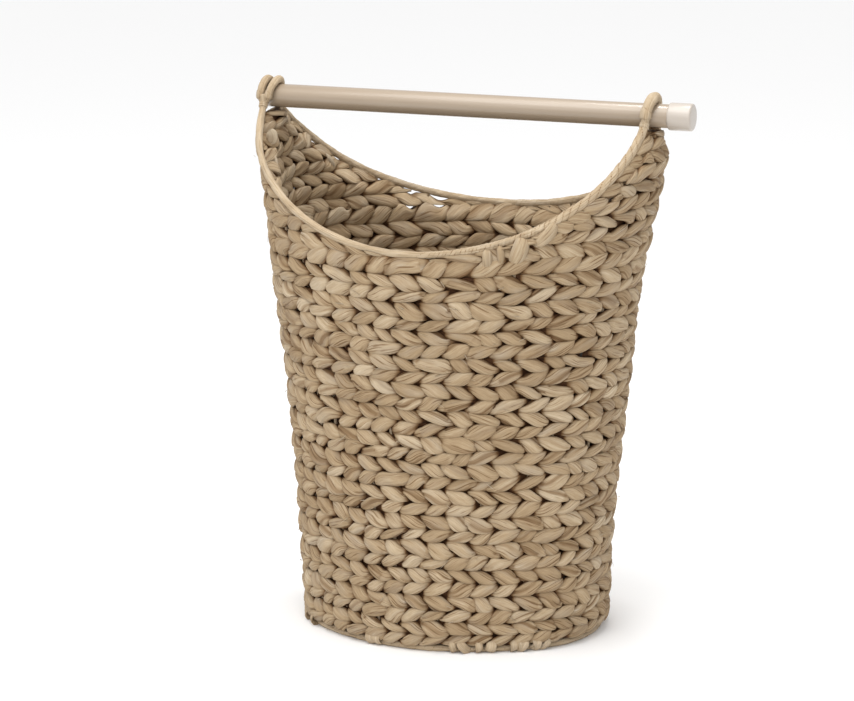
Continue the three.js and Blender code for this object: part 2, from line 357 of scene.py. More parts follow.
def per_lobe(stake, values):
    """A value of its own for each pass over a stake, changing quickly half way between two stakes."""
    below = np.floor(stake).astype(int)
    part = smooth_step(np.clip((stake - below - 0.5) / LOBE_CHANGE + 0.5, 0, 1))
    return values[below % len(values)] * (1 - part) + values[(below + 1) % len(values)] * part


def eased(stake, values):
    """A value of its own at each stake, changing smoothly all the way between two stakes."""
    below = np.floor(stake).astype(int)
    part = smooth_step(stake - below)
    return values[below % len(values)] * (1 - part) + values[(below + 1) % len(values)] * part


def pressed(value):
    """Squeezes what stands beyond PRESS_FROM into PRESS_ROOM, as neighbours squeeze a soft strand."""
    size = np.abs(value)
    beyond = PRESS_FROM + PRESS_ROOM * np.tanh((size - PRESS_FROM) / PRESS_ROOM)
    return np.sign(value) * np.where(size > PRESS_FROM, beyond, size)


def wander(angle, z, seed):
    """A slow uneven drift of a hand-made wall, from -1 to 1."""
    source = np.random.default_rng(seed)
    total = 0
    for turns in (1, 2, 3, 5, 8):
        phase, pitch = source.uniform(0, TAU), source.uniform(8, 26)
        total = total + np.sin(turns * angle + pitch * z + phase) / 3
    return total


def twined_row(sweep, stakes, lean, place, closed, pitch=STAKE_PITCH, open_edge=None):
    """Two strands twined round the stakes, shaped in a flat row and laid on the wall or base by
    place(stake, level, depth), where level and depth both run from -1 to 1. Where open_edge(stake)
    is 1 the row has no neighbour above, so its hollows get less painted shade."""
    lobes = len(stakes) // STRAND_STEPS if closed else int(round(stakes[-1] - stakes[0])) + 4
    slip = LOBE_SLIP * rng.standard_normal(lobes) + ROW_SLIP * rng.uniform(-1, 1)
    local = stakes - math.floor(stakes[0])
    for strand in (0, 1):
        tall = 1 + LOBE_SPREAD * rng.standard_normal(lobes)
        thick = 1 + LOBE_SPREAD * rng.standard_normal(lobes)
        lift = LIFT_SPREAD * rng.standard_normal(lobes)
        proud = PROUD_SPREAD * rng.standard_normal(lobes)
        shade = rng.uniform(0, 1, lobes)
        pale = (rng.uniform(0, 1, lobes) < PALE_SHARE).astype(float)
        creases = rng.uniform(0, TAU, (4, lobes))
        phase = math.pi * (local + strand + eased(local + 0.5, slip))
        swing, rise = np.cos(phase), np.sin(phase)
        over = np.abs(swing)
        depth = WEAVE_DEPTH * np.tanh(DEPTH_FLATNESS * swing) / math.tanh(DEPTH_FLATNESS)
        depth = depth + per_lobe(local, proud) * swing
        up = -lean * LEAN_HEIGHT * rise + per_lobe(local, lift) * over
        half_up = HALF_HEIGHT_CROSSING + (HALF_HEIGHT_OVER - HALF_HEIGHT_CROSSING) * over
        half_up = half_up * per_lobe(local, tall)
        half_out = HALF_DEPTH_CROSSING + (HALF_DEPTH_OVER - HALF_DEPTH_CROSSING) * over
        half_out = half_out * per_lobe(local, thick)
        centre = np.stack([stakes * pitch, up, depth], axis=-1)
        if closed:
            ahead = np.roll(centre, -1, axis=0) - np.roll(centre, 1, axis=0)
            ahead[[0, -1], 0] = ahead[1, 0]
        else:
            ahead = np.gradient(centre, axis=0)
        along = unit(ahead)
        out = unit(np.array([0, 0, 1.0]) - along[:, 2:] * along)
        upward = np.cross(out, along)
        if not closed:
            from_end = np.minimum(stakes - stakes[0], stakes[-1] - stakes) / END_TAPER
            half_up = half_up * rounded_off(from_end, 0.01)
            half_out = half_out * rounded_off(from_end, 0.01)
        turn = TAU * np.arange(STRAND_SIDES) / STRAND_SIDES
        run = run_along(centre)
        twist = TWIST_PER_METRE * run[:, None]
        a, b, c, d = (per_lobe(local, values)[:, None] for values in creases)
        fold = 0.5 * np.cos(3 * turn + a + twist) + 0.3 * np.cos(5 * turn + b + twist)
        fold = fold + 0.2 * np.cos(8 * turn + c)
        from_groove = np.mod(turn - d - twist * GROOVE_LAG, TAU) - math.pi
        groove = np.exp(-((from_groove / GROOVE_WIDTH) ** 2))
        radius = 1 + FOLD_DEPTH * fold - GROOVE_DEPTH * groove
        round_up, round_out = np.sin(turn), np.cos(turn)
        round_up = np.sign(round_up) * np.abs(round_up) ** SECTION_POWER
        round_out = np.sign(round_out) * np.abs(round_out) ** SECTION_POWER
        up_part = (half_up[:, None] * round_up * radius)[..., None]
        out_part = (half_out[:, None] * round_out * radius)[..., None]
        grid = centre[:, None] + up_part * upward[:, None] + out_part * out[:, None]
        level = pressed(grid[..., 1] / ROW_HALF_HEIGHT)
        deep = pressed(grid[..., 2] / WALL_HALF_THICKNESS)
        points = place(grid[..., 0] / pitch, level, deep)
        tone = per_lobe(local, shade)[:, None] + 0 * turn
        tone = np.where(per_lobe(local, pale)[:, None] > 0.5, PALE_TONE, tone)
        # Painted shade, darkest towards the middle of the wall and on the side of each pass that faces
        # into it, and less at an open edge.
        least = 0 if open_edge is None else OPEN_EDGE_SHADE_LIFT * open_edge(stakes)[:, None]
        painted_hollow_shade = HOLLOW_SHADE_REACH * np.abs(deep) + HOLLOW_SHADE_BIAS * round_out * np.sign(swing)[:, None]
        hollow_shading = np.clip(painted_hollow_shade, least, 1)
        if closed:
            run = np.append(run, run[-1] + run[1])
        along_fibre = run + rng.uniform(0, NEW_FIBRE)
        # The fold and grooves are passed on for painted shade in the creases.
        sweep.tube(points, along_fibre, tone, fold - GROOVE_SHADE * groove, hollow_shading, closed)


EDGE_DRIFT = 1.25 * MM
COURSE_NOTCH = 0.28
COURSE_SWELL = 1.05
WALL_BULGE = 1.0 * MM
COURSE_DRIFT = 1.2 * MM
BULGE_SEED = 12
COURSE_SEED = 11
ROW_SEED = 100
WING_SHIFT = 5 * MM
SHIFT_FROM = 0.36
SHIFT_FULL = 0.48
THIN_WITHIN = 17 * MM
THIN_BY = 0.58


def edge_drift(row, stake):
    """How far the edge between two rows, counted up from the base, strays at each place."""
    source = np.random.default_rng(ROW_SEED + row)
    return EDGE_DRIFT * eased(stake, source.standard_normal(STAKE_COUNT))


HOOP_LAP = 4.5 * MM
LOWEST = course_boxes[0][0].z - HOOP_LAP
UNDER_KNOB = 1.5 * MM
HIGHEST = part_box("rod_knob")[0].z - UNDER_KNOB


def from_rim(angle, z):
    """Distance of a place on the wall from the centreline of the nearer rim."""
    place = wall_point(angle, z, RIM_INSET)
    place[..., 1] = np.abs(place[..., 1])
    return np.linalg.norm(place[..., None, :] - rim_line[::6], axis=-1).min(axis=-1)


def woven_point(angle, z, deep, course, thinned=False):
    """A point of the wall, which is thickest at the middle of each course and notched between two.
    The wings stand a little towards the knob, and a thinned row gets thinner close to the rim cord."""
    low, high = course
    across = np.clip((z - (low + high) / 2) * 2 / (high - low), -1.1, 1.1)
    thickness = WALL_HALF_THICKNESS * (COURSE_SWELL - COURSE_NOTCH * across**2)
    bulge = WALL_BULGE * wander(angle, (low + high) / 2, BULGE_SEED)
    drift = COURSE_DRIFT * wander(angle, (low + high) / 2, COURSE_SEED)
    shifted = np.clip((z - SHIFT_FROM) / (SHIFT_FULL - SHIFT_FROM), 0, 1)
    bulge = bulge + WING_SHIFT * smooth_step(shifted) * np.cos(angle)
    middle = WALL_MIDDLE
    if thinned:
        near = np.clip(1 - (from_rim(angle, z) - RIM_RADIUS) / THIN_WITHIN, 0, 1)
        thickness = thickness * (1 - THIN_BY * near)
        middle = WALL_MIDDLE + (RIM_INSET - WALL_MIDDLE) * near
        bulge = bulge * (1 - near * (np.cos(angle) < 0))
    return wall_point(angle, np.clip(z + drift, LOWEST, HIGHEST), middle - deep * thickness - bulge)


# Where the top row has sunk away from the back rim: sweep and spread in degrees, depth in mm.
SLACK_PLACES = ((-29.0, 2.2, 7.0), (-20.0, 2.6, 6.0), (-55.0, 1.6, 5.0))


def slack(angle):
    """How far the edge under the rim has sunk, which it has only on the back."""
    total = 0
    for degrees, spread, depth in SLACK_PLACES:
        middle = np.interp(math.radians(degrees), rim_sweep, rim_angles)
        away = angle_between(angle, middle) / math.radians(spread)
        total = total + depth * MM * np.exp(-(away**2))
    return total


# How much the painted hollow shade lifts on the row under the rim.
UNDER_RIM_SHADE_LIFT = 0.6


def wall_row(sweep, row, low, high, lean, course, under_rim=False):
    """A row all the way round the wall between two heights."""
    stakes = 0.5 + np.arange(STAKE_COUNT * STRAND_STEPS) / STRAND_STEPS

    def place(stake, level, deep):
        bottom = low + edge_drift(row, stake)
        top = high + edge_drift(row + 1, stake)
        if under_rim:
            top = top - slack(angle_at(stake))
        middle = (bottom + top) / 2
        height = middle + level * (top - bottom) / 2
        return woven_point(angle_at(stake), height, deep, course, under_rim)

    def open_edge(stake):
        return np.full_like(stake, under_rim * UNDER_RIM_SHADE_LIFT)

    twined_row(sweep, stakes, lean, place, True, open_edge=open_edge)


# An edging strand pair climbs beside the rim to the right peak, and the wing rows stop below it.
EDGING_STARTS = math.radians(24)
EDGING_TIP = 0.03
EDGING_FULL = math.radians(44)
EDGING_ENDS = math.radians(87)
EDGING_POINTS = 200
EDGING_WIDTH = 11 * MM
EDGING_PITCH = 21 * MM
LOW_TUCK = -2.0 * MM
WING_MIN_ROW = 3.5 * MM
WING_REACH = 10
WING_POINTS = 2001
OPEN_ABOVE = 10 * MM
edging_part = (rim_sweep - EDGING_STARTS) / (EDGING_FULL - EDGING_STARTS)
edging_width = EDGING_WIDTH * np.clip(edging_part, 0, 1)
rim_tangent = np.gradient(rim_line, axis=0)
rim_level_run = np.linalg.norm(rim_tangent[:, :2], axis=1)
rim_steepness = np.hypot(rim_level_run, rim_tangent[:, 2])
rim_level_part = rim_level_run / rim_steepness
rim_rise_part = np.abs(rim_tangent[:, 2]) / rim_steepness
rim_length = run_along(rim_line)
turn_per_metre = np.abs(np.gradient(rim_angles)) / rim_level_run


def rim_sample(sweep_angle):
    """Where a sweep comes in the count of samples along the back rim from the left peak."""
    return (sweep_angle + math.pi / 2) / math.pi * (RIM_SAMPLES - 1)


def below_rim(sample, distance):
    """The plan angle and height a distance from the rim, square to it, on the side of the weave."""
    angle, height, level, rise, turn = (
        np.interp(sample, np.arange(RIM_SAMPLES), values)
        for values in (rim_angles, rim_line[:, 2], rim_level_part, rim_rise_part, turn_per_metre))
    toward_peak = np.where(sample < RIM_SAMPLES / 2, 1, -1)
    return angle + toward_peak * rise * distance * turn, height - level * distance


row_edge_angle, row_edge_height = below_rim(
    np.arange(RIM_SAMPLES), RIM_RADIUS + LOW_TUCK + edging_width)


def row_limit(angle):
    """Height of the line that the wing rows run up to."""
    order = np.argsort(row_edge_angle)
    from_right = np.abs(angle_between(angle, 0))
    return np.interp(from_right, row_edge_angle[order], row_edge_height[order]) - slack(angle)


def wing_row(sweep, row, low, high, lean, peak_angle, course):
    """A short row across one peak, from rim to rim, thinning where the rim comes down on it."""
    middle_stake = float(stake_at(peak_angle))
    reach = np.linspace(0, WING_REACH, WING_POINTS)
    top = np.minimum(high, row_limit(angle_at(middle_stake + reach)))
    room = top - low > WING_MIN_ROW
    last = reach[np.argmin(room)] if not room.all() else reach[-1]
    count = max(int(round(2 * last * STRAND_STEPS)), STRAND_STEPS)
    stakes = middle_stake + np.linspace(-last, last, count + 1)

    def place(stake, level, deep):
        angle = angle_at(stake)
        bottom = low + edge_drift(row, stake)
        top = np.minimum(high + edge_drift(row + 1, stake), row_limit(angle))
        top = np.maximum(top, bottom + WING_MIN_ROW)
        height = (top + bottom) / 2 + level * (top - bottom) / 2
        return woven_point(angle, height, deep, course, True)

    def open_edge(stake):
        return np.clip(1 - (row_limit(angle_at(stake)) - high) / OPEN_ABOVE, 0, 1)

    twined_row(sweep, stakes, lean, place, False, open_edge=open_edge)


def edging(sweep, facing):
    """The strand pair that climbs beside the rim of one face, from low in the curve to the peak."""
    samples = rim_sample(np.linspace(EDGING_STARTS + EDGING_TIP, EDGING_ENDS, EDGING_POINTS))
    lengths = np.interp(samples, np.arange(RIM_SAMPLES), rim_length)
    run = lengths - lengths[0]
    count = int(run[-1] / EDGING_PITCH * STRAND_STEPS)
    stakes = np.linspace(0, run[-1] / EDGING_PITCH, count)

    def place(stake, level, deep):
        sample = np.interp(stake * EDGING_PITCH, run, samples)
        width = np.interp(sample, np.arange(RIM_SAMPLES), edging_width)
        angle, z = below_rim(sample, RIM_RADIUS - 0.5 * MM + width / 2 - level * width * 0.55)
        return wall_point(facing * angle, z, WALL_MIDDLE - 2 * MM - deep * (7.5 - 2 * level) * MM)

    twined_row(sweep, stakes, 1, place, False, pitch=EDGING_PITCH, open_edge=np.ones_like)


# ---- wrapped cord

CORD_SIDES = 18
# The ridge at which the painted shade between wraps is full.
FULL_SEAM_SHADE = 0.16
LUMPINESS = 0.045
LUMP_TONE = 0.12
LUMP_SPACING = 10 * MM


def ring_grid(centre, size, out, upward, turn):
    """Rings of points round a line, of one size or of a size for each point."""
    around = np.cos(turn)[None, :, None] * out[:, None] + np.sin(turn)[None, :, None] * upward[:, None]
    return centre[:, None] + size * around


def wrapped_cord(
        sweep, line, outward, radius, pitch,
        closed=False, ridge=0.12, step=1.3 * MM, round_end=0.35, girth=None, strands=1):
    """Wire wound with thin flat strands side by side, whose turns overlap like shingles. The pitch,
    ridge and girth may change along an open cord, and are then given at each point of the line."""
    run = run_along(line)
    steps = max(int(run[-1] / step), 8)
    even = np.linspace(0, run[-1], steps + 1)
    if closed:
        even = even[:-1]
    centre = np.stack([np.interp(even, run, line[:, k]) for k in range(3)], axis=-1)
    facing = np.stack([np.interp(even, run, outward[:, k]) for k in range(3)], axis=-1)
    out, upward = section_frames(centre, unit(facing), closed)
    turn = TAU * np.arange(CORD_SIDES) / CORD_SIDES
    if closed:
        turns = even / run[-1] * round(run[-1] / pitch)
    else:
        pitches = np.interp(even, run, np.broadcast_to(pitch, len(run)))
        turns = np.cumsum(np.gradient(even) / pitches)
        turns = turns + 0.2 * np.sin(turns * 0.9 + 1) + 0.08 * np.sin(turns * 2.3)
    ridge = np.interp(even, run, np.broadcast_to(ridge, len(run)))[:, None] * np.ones(CORD_SIDES)
    wound = turns[:, None] - strands * turn[None] / TAU
    part = wound - np.floor(wound)
    number = np.floor(wound).astype(int)
    swell = np.sqrt(np.clip(1 - (2 * part - 1) ** 2, 0, 1))
    height = 1 - ridge + ridge * (0.55 * swell + 0.45 * part)
    height = height + 0.03 * np.cos(4 * turn + turns[:, None] * 2.0)
    if not closed:
        from_end = np.minimum(even, run[-1] - even) / (round_end * radius)
        height = height * rounded_off(from_end, 0.05)[:, None]
    if girth is not None:
        height = height * np.interp(even, run, girth)[:, None]
    lump_places = np.arange(0, run[-1] + 2 * LUMP_SPACING, LUMP_SPACING)
    lumps = np.interp(even, lump_places, rng.standard_normal(len(lump_places)))[:, None]
    height = height * (1 + LUMPINESS * lumps)
    grid = ring_grid(centre, radius * height[..., None], out, upward, turn)
    shades = rng.uniform(0.25, 0.85, strands)
    tone = shades[number % strands] + LUMP_TONE * lumps
    distance = np.append(even, run[-1]) if closed else even
    # Painted shade in the seams between wraps, stronger where the ridge is higher.
    seam_shade = np.clip(ridge / FULL_SEAM_SHADE, 0, 1.2)
    hollow_shading = np.clip(1 - seam_shade * (0.65 - swell), 0, 1)
    sweep.tube(grid, distance, tone, seam_shade * (2 * swell - 1), hollow_shading, closed)


# Hollow shading for loose strands, high enough that they get no painted shade.
LOOSE_HOLLOW_SHADING = 0.9


def flat_strand(
        sweep, line, outward, half_width, half_thickness, sides=12, taper=0.25, tone=None, folds=1.0):
    """A short loose strand: flat in section, narrowing to both ends."""
    line, outward = np.asarray(line, float), np.asarray(outward, float)
    out, across = section_frames(line, unit(outward), False)
    part = np.linspace(0, 1, len(line))
    size = rounded_off(np.minimum(part, 1 - part) / taper, 0.02)[:, None]
    turn = TAU * np.arange(sides) / sides
    fold = 0.6 * np.cos(3 * turn + rng.uniform(0, TAU)) + 0.4 * np.cos(5 * turn + rng.uniform(0, TAU))
    fold = folds * fold + 0 * size
    radius = size * (1 + 0.08 * fold)
    grid = line[:, None] + (half_thickness * np.cos(turn) * radius)[..., None] * out[:, None]
    grid = grid + (half_width * np.sin(turn) * radius)[..., None] * across[:, None]
    grid[..., 2] = np.maximum(grid[..., 2], 0)
    if tone is None:
        tone = rng.uniform(0.2, 1.0)
    tones = np.full(fold.shape, tone)
    hollow_shading = np.full(fold.shape, LOOSE_HOLLOW_SHADING)
    sweep.tube(grid, run_along(line) + rng.uniform(0, NEW_FIBRE), tones, fold, hollow_shading, False)


def rounded(points, count):
    """A smooth line through a few points, by Catmull and Rom's cubic."""
    points = np.asarray(points, float)
    padded = np.concatenate([2 * points[:1] - points[1:2], points, 2 * points[-1:] - points[-2:-1]])
    place = np.linspace(0, len(points) - 1, count)
    first = np.minimum(place.astype(int), len(points) - 2)
    t = (place - first)[:, None]
    a, b, c, d = (padded[first + k] for k in range(4))
    bend = (2 * a - 5 * b + 4 * c - d) * t**2 + (3 * b - a - 3 * c + d) * t**3
    return 0.5 * (2 * b + (c - a) * t + bend)


# ---- shader building

def maths(operation, turned_round=False):
    """An arithmetic operator that adds its Math node."""
    def apply(value, other):
        first, second = (other, value) if turned_round else (value, other)
        return value.sheet.node("ShaderNodeMath", {"operation": operation}, {0: first, 1: second})
    return apply


class Value:
    """A node socket that takes part in Python arithmetic."""

    def __init__(self, sheet, socket):
        self.sheet, self.socket = sheet, socket

    __add__ = maths("ADD")
    __radd__ = maths("ADD", True)
    __sub__ = maths("SUBTRACT")
    __rsub__ = maths("SUBTRACT", True)
    __mul__ = maths("MULTIPLY")
    __rmul__ = maths("MULTIPLY", True)


class Sheet:
    """One material's node tree."""

    def __init__(self, name):
        self.material = bpy.data.materials.new(name)
        self.material.use_nodes = True
        self.tree = self.material.node_tree
        self.shader = self.tree.nodes["Principled BSDF"]

    def node(self, kind, settings=None, inputs=None, output=0):
        made = self.tree.nodes.new(kind)
        for key, value in (settings or {}).items():
            if key == "stops":
                self._set_stops(made.color_ramp, value)
            else:
                setattr(made, key, value)
        for key, value in (inputs or {}).items():
            self.feed(made.inputs[key], value)
        return Value(self, made.outputs[output])

    def _set_stops(self, ramp, stops):
        while len(ramp.elements) < len(stops):
            ramp.elements.new(0.5)
        for element, (position, colour) in zip(ramp.elements, stops):
            element.position = position
            element.color = (*colour, 1)

    def feed(self, socket, value):
        if isinstance(value, Value):
            self.tree.links.new(value.socket, socket)
        elif isinstance(value, tuple) and len(value) == 3 and socket.type == "RGBA":
            socket.default_value = (*value, 1)
        else:
            socket.default_value = value

    def set(self, **inputs):
        for key, value in inputs.items():
            self.feed(self.shader.inputs[key.replace("_", " ")], value)

    def mix(self, part, first, second, blend="MIX"):
        settings = {"data_type": "RGBA", "blend_type": blend}
        return self.node("ShaderNodeMix", settings, {0: part, 6: first, 7: second}, 2)

    def noise(self, vector, scale, detail, roughness):
        inputs = {"Vector": vector, "Scale": scale, "Detail": detail, "Roughness": roughness}
        return self.node("ShaderNodeTexNoise", None, inputs)

    def streaks(self, vector, stretch, detail, roughness):
        """Noise of its own scale along each axis."""
        settings = {"operation": "MULTIPLY"}
        drawn_out = self.node("ShaderNodeVectorMath", settings, {0: vector, 1: stretch})
        return self.noise(drawn_out, 1.0, detail, roughness)

    def ramp(self, value, stops):
        return self.node("ShaderNodeValToRGB", {"stops": stops}, {0: value})

    def bump(self, height, strength, distance):
        inputs = {"Height": height, "Strength": strength, "Distance": distance}
        return self.node("ShaderNodeBump", None, inputs)

    def attribute(self, name):
        return self.node("ShaderNodeAttribute", {"attribute_name": name}, None, "Vector")

    def place(self):
        """Where each point is on the object."""
        return self.node("ShaderNodeTexCoord", None, None, "Object")

    def parts(self, vector):
        split = self.node("ShaderNodeSeparateXYZ", None, {0: vector}).socket.node
        return [Value(self, socket) for socket in split.outputs]


WHITE = (1, 1, 1)
BLACK = (0, 0, 0)
PITH = (0.60, 0.51, 0.39)
# Painted shade: the next two colours darken the strands deep in the hollows, and less in shallow ones.
DEEP_HOLLOW_SHADE = (0.17, 0.09, 0.042)
SHALLOW_HOLLOW_SHADE = (0.56, 0.43, 0.31)
# Painted shade in the creases.
CREASE_SHADE = (0.5, 0.40, 0.30)
SPLIT = (0.42, 0.32, 0.22)


def strand_material(name, dark, middle, light, grey, crease_shade_and_split_strength=0.8):
    """Dried twisted leaf: lengthwise fibres and creases, a shade for each pass, and painted shade in
    the hollows and creases.
    """
    sheet = Sheet(name)
    fibre = sheet.attribute("fibre")
    tone, fold, hollow_shading = sheet.parts(sheet.attribute("shade"))
    long_fibres = sheet.streaks(fibre, (45.0, 3.6, 3.6), 5.0, 0.62)
    fine_fibres = sheet.streaks(fibre, (120.0, 14.0, 14.0), 4.0, 0.7)
    patches = sheet.streaks(fibre, (30.0, 0.8, 0.8), 2.0, 0.5)
    splits = sheet.streaks(fibre, (32.0, 5.5, 5.5), 2.0, 0.5)
    shade = tone * 0.27 + long_fibres * 0.75 + fine_fibres * 0.5 - 0.30
    colour = sheet.ramp(shade, [(0.10, dark), (0.45, middle), (0.85, light)])
    greyness = sheet.ramp(patches, [(0.50, BLACK), (0.75, (0.7, 0.7, 0.7))])
    colour = sheet.mix(greyness, colour, grey)
    pith = sheet.ramp(patches * 0.5 + splits * 0.5, [(0.64, BLACK), (0.74, (0.8, 0.8, 0.8))])
    colour = sheet.mix(pith, colour, PITH)
    # Painted shade in the hollows.
    painted_hollow_shade = sheet.ramp(hollow_shading, [(0.26, DEEP_HOLLOW_SHADE), (0.56, SHALLOW_HOLLOW_SHADE), (0.87, WHITE)])
    colour = sheet.mix(1.0, colour, painted_hollow_shade, "MULTIPLY")
    # Painted shade in the creases and grooves, from the strand's fold. The same strength sets the dark
    # splits below.
    painted_crease_shade = sheet.ramp(fold * 0.3 + 0.5, [(0.05, CREASE_SHADE), (0.45, WHITE)])
    colour = sheet.mix(crease_shade_and_split_strength, colour, painted_crease_shade, "MULTIPLY")
    split = sheet.ramp(splits, [(0.34, SPLIT), (0.41, WHITE)])
    colour = sheet.mix(crease_shade_and_split_strength, colour, split, "MULTIPLY")
    height = long_fibres * 0.9 + fine_fibres * 0.6 + splits * 0.5
    sheet.set(Base_Color=colour, Roughness=0.62 + 0.3 * long_fibres, Specular_IOR_Level=0.25)
    sheet.set(Normal=sheet.bump(height, 0.8, 1.5 * MM))
    return sheet.material


STRANDS = {
    "woven_strand": strand_material(
        "woven_strand", dark=(0.225, 0.148, 0.076), middle=(0.39, 0.281, 0.166),
        light=(0.60, 0.495, 0.352), grey=(0.36, 0.287, 0.207)),
    "base_strand": strand_material(
        "base_strand", dark=(0.17, 0.11, 0.055), middle=(0.34, 0.245, 0.145),
        light=(0.54, 0.44, 0.31), grey=(0.34, 0.27, 0.195)),
    "wrapping_strand": strand_material(
        "wrapping_strand", dark=(0.26, 0.17, 0.09), middle=(0.48, 0.365, 0.235),
        light=(0.66, 0.555, 0.41), grey=(0.46, 0.38, 0.28), crease_shade_and_split_strength=0.5),
}


def wood_material(name, dark, light):
    """Sanded pale hardwood with its grain along X."""
    sheet = Sheet(name)
    place = sheet.place()
    grain = sheet.streaks(place, (3.0, 90.0, 90.0), 5.0, 0.6)
    pores = sheet.streaks(place, (30.0, 700.0, 700.0), 3.0, 0.6)
    bands = sheet.streaks(place, (1.2, 22.0, 22.0), 2.0, 0.5)
    shade = grain * 0.6 + bands * 0.5 + pores * 0.2 - 0.15
    colour = sheet.ramp(shade, [(0.15, dark), (0.75, light)])
    sheet.set(Base_Color=colour, Roughness=0.3 + 0.2 * grain, Normal=sheet.bump(pores, 0.1, 0.3 * MM))
    sheet.set(Coat_Weight=0.7, Coat_Roughness=0.22)
    return sheet.material


rod_wood = wood_material("rod_wood", (0.25, 0.187, 0.127), (0.365, 0.288, 0.209))
knob_wood = wood_material("knob_wood", (0.38, 0.325, 0.273), (0.49, 0.438, 0.382))


def wire_material():
    sheet = Sheet("frame_wire")
    place = sheet.place()
    wear = sheet.noise(place, 220.0, 4.0, 0.6)
    colour = sheet.ramp(wear, [(0.45, (0.03, 0.027, 0.025)), (0.75, (0.10, 0.085, 0.07))])
    sheet.set(Base_Color=colour, Roughness=0.35 + 0.3 * wear, Metallic=0.6)
    return sheet.material


frame_wire = wire_material()


def finish_piece(piece, slot, *nodes, body="basket"):
    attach(piece, body)
    if nodes:
        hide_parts(*nodes)


def finish_sweep(sweep, name, slot, *nodes):
    """Makes the gathered tubes one piece of the basket, in one of its strands."""
    finish_piece(sweep.build(name, STRANDS[slot]), slot, *nodes)


# ---- wall courses

UNDER_RIM = 2.5 * MM
HALF_COURSE = (course_boxes[-1][0].z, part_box("left_wing_course_01")[1].z)
for number, (low, high) in enumerate(course_boxes, 1):
    sweep = Sweep()
    if number > FULL_COURSES:
        wall_row(sweep, 2 * number - 2, low.z, high.z + UNDER_RIM, -1, HALF_COURSE, under_rim=True)
    else:
        middle = (low.z + high.z) / 2
        wall_row(sweep, 2 * number - 2, low.z, middle, -1, (low.z, high.z))
        wall_row(sweep, 2 * number - 1, middle, high.z, 1, (low.z, high.z))
    finish_sweep(sweep, f"woven_course_{number:02d}", "woven_strand", f"wall_course_{number:02d}")

# ---- wing courses

WING_COURSES = 5
for side, peak_angle in (("left", math.pi), ("right", 0.0)):
    for number in range(1, WING_COURSES + 1):
        node = f"{side}_wing_course_{number:02d}"
        low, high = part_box(node)
        sweep = Sweep()
        first = 2 * (FULL_COURSES + number) - 1
        if number == 1:
            wing_row(sweep, first, low.z, high.z, 1, peak_angle, HALF_COURSE)
        else:
            middle = (low.z + high.z) / 2
            wing_row(sweep, first - 1, low.z, middle, -1, peak_angle, (low.z, high.z))
            wing_row(sweep, first, middle, high.z, 1, peak_angle, (low.z, high.z))
        finish_sweep(sweep, f"{side}_woven_wing_{number:02d}", "woven_strand", node)

for face, facing in (("front", -1), ("back", 1)):
    sweep = Sweep()
    edging(sweep, facing)
    finish_sweep(sweep, f"right_{face}_edging", "woven_strand")

# ---- rim cords, loops and bindings

# How the rim cords change at places along their sweep, in degrees. The wrapping's pitch is in mm.
RIM_PLACES = (-90, -60, 0, 9, 20, 40, 47, 75, 90)
RIM_GIRTH = (1.0, 1.05, 1.0, 1.05, 1.14, 1.14, 1.42, 1.36, 1.15)
RIM_WRAP_PITCH = {
    "front": (16, 16, 12, 4.4, 4.2, 4.4, 11, 14, 12),
    "back": (9, 9, 7, 6, 6, 8, 12, 12, 12),
}
RIM_RIDGE = {
    "front": (0.03, 0.03, 0.05, 0.2, 0.28, 0.28, 0.26, 0.26, 0.22),
    "back": (0.1, 0.1, 0.1, 0.1, 0.1, 0.1, 0.2, 0.2, 0.2),
}
RIM_TAIL = 6 * MM
RIM_STRANDS = 3
for name, side in (("front", -1), ("back", 1)):
    line = rim_line * (1, side, 1)
    line = np.concatenate([line[:1] + (0, 0, RIM_TAIL), line, line[-1:] + (0, 0, RIM_TAIL)])
    outward = np.stack([line[:, 0] - BASKET_X, line[:, 1], 0 * line[:, 0]], axis=-1)
    sweep = Sweep()
    girth, pitch, ridge = (
        np.pad(np.interp(np.degrees(rim_sweep), RIM_PLACES, values), 1, mode="edge")
        for values in (RIM_GIRTH, RIM_WRAP_PITCH[name], RIM_RIDGE[name]))
    wrapped_cord(
        sweep, line, outward, RIM_RADIUS, pitch * MM,
        ridge=ridge, step=0.8 * MM, girth=girth, strands=RIM_STRANDS)
    finish_sweep(sweep, f"wrapped_rim_{name}", "wrapping_strand", f"rim_cord_{name}")

rod_low, rod_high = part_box("carry_rod")
ROD_Z = (rod_low.z + rod_high.z) / 2
ROD_RADIUS = (rod_high.z - rod_low.z) / 2
LEG_LENGTH = 9 * MM
LEG_SPREAD = 0.8 * MM
LEG_GIRTH = 0.74
LEG_WIDENS = 0.04
SHOULDER = 0.14
CROWN_POINTS = 60
CUFF_POINTS = 7
CUFF_GIRTH = 1.08
CUFF_RIPPLE = 0.035


